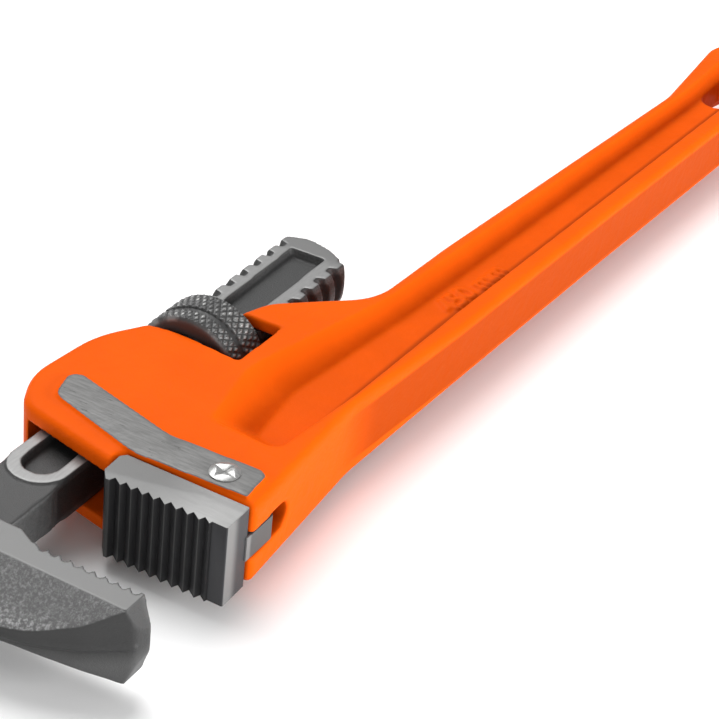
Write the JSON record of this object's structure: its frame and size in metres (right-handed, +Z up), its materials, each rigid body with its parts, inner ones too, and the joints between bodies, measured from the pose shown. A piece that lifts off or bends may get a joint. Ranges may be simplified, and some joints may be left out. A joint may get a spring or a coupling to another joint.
{
  "type": "pipe wrench",
  "caption": "Heavy-duty straight pipe wrench: I-section handle with housing, pinned heel jaw, and a hook jaw driven by a knurled nut.",
  "frame": {"origin": "under the middle of the wrench as it lies on its side, at its lowest point", "axes": "+X from the jaws to the handle's end, +Y from the open side of the jaws to the hook jaw's shank, +Z up out of the upper cheek"},
  "size_m": [0.4128, 0.0918, 0.0304],
  "materials": {
    "casting_paint": "semi-gloss orange enamel over cast iron",
    "heel_jaw_steel": "blackened steel with ground faces",
    "hook_jaw_steel": "dark forged steel with ground lands",
    "nut_steel": "dark knurled steel",
    "spring_steel": "oiled spring steel",
    "pin_steel": "bright steel"
  },
  "bodies": {
    "housing": {"handle": "casting_paint", "heel_jaw": "heel_jaw_steel", "heel_jaw_pin": "pin_steel", "spring_pin": "pin_steel", "coil_spring": "spring_steel"},
    "rocker": {"flat_spring": "spring_steel"},
    "hook": {"hook_jaw": "hook_jaw_steel"},
    "nut": {"adjusting_nut": "nut_steel"}
  },
  "joints": [
    {"name": "jaw_rock", "type": "hinge", "parent": "housing", "child": "rocker", "pos_m": [-0.10321, 0.01171, 0.0152], "axis": [0, 0, 1], "range_deg": [0, 2.5], "stiffness_Nm_per_rad": 8, "springref_deg": -1.72, "deforming": ["coil_spring"]},
    {"name": "jaw_slide", "type": "slide", "parent": "rocker", "child": "hook", "axis": [-0.9997, -0.0262, 0], "range_m": [-0.0243, 0.04]},
    {"name": "nut_spin", "type": "hinge", "parent": "rocker", "child": "nut", "pos_m": [-0.0897, 0.02667, 0.0152], "axis": [0.9997, 0.0262, 0], "range_deg": [-1252, 2059]}
  ],
  "couplings": [
    {"joint": "nut_spin", "follows": "jaw_slide", "rad_per_m": 897.6}
  ]
}
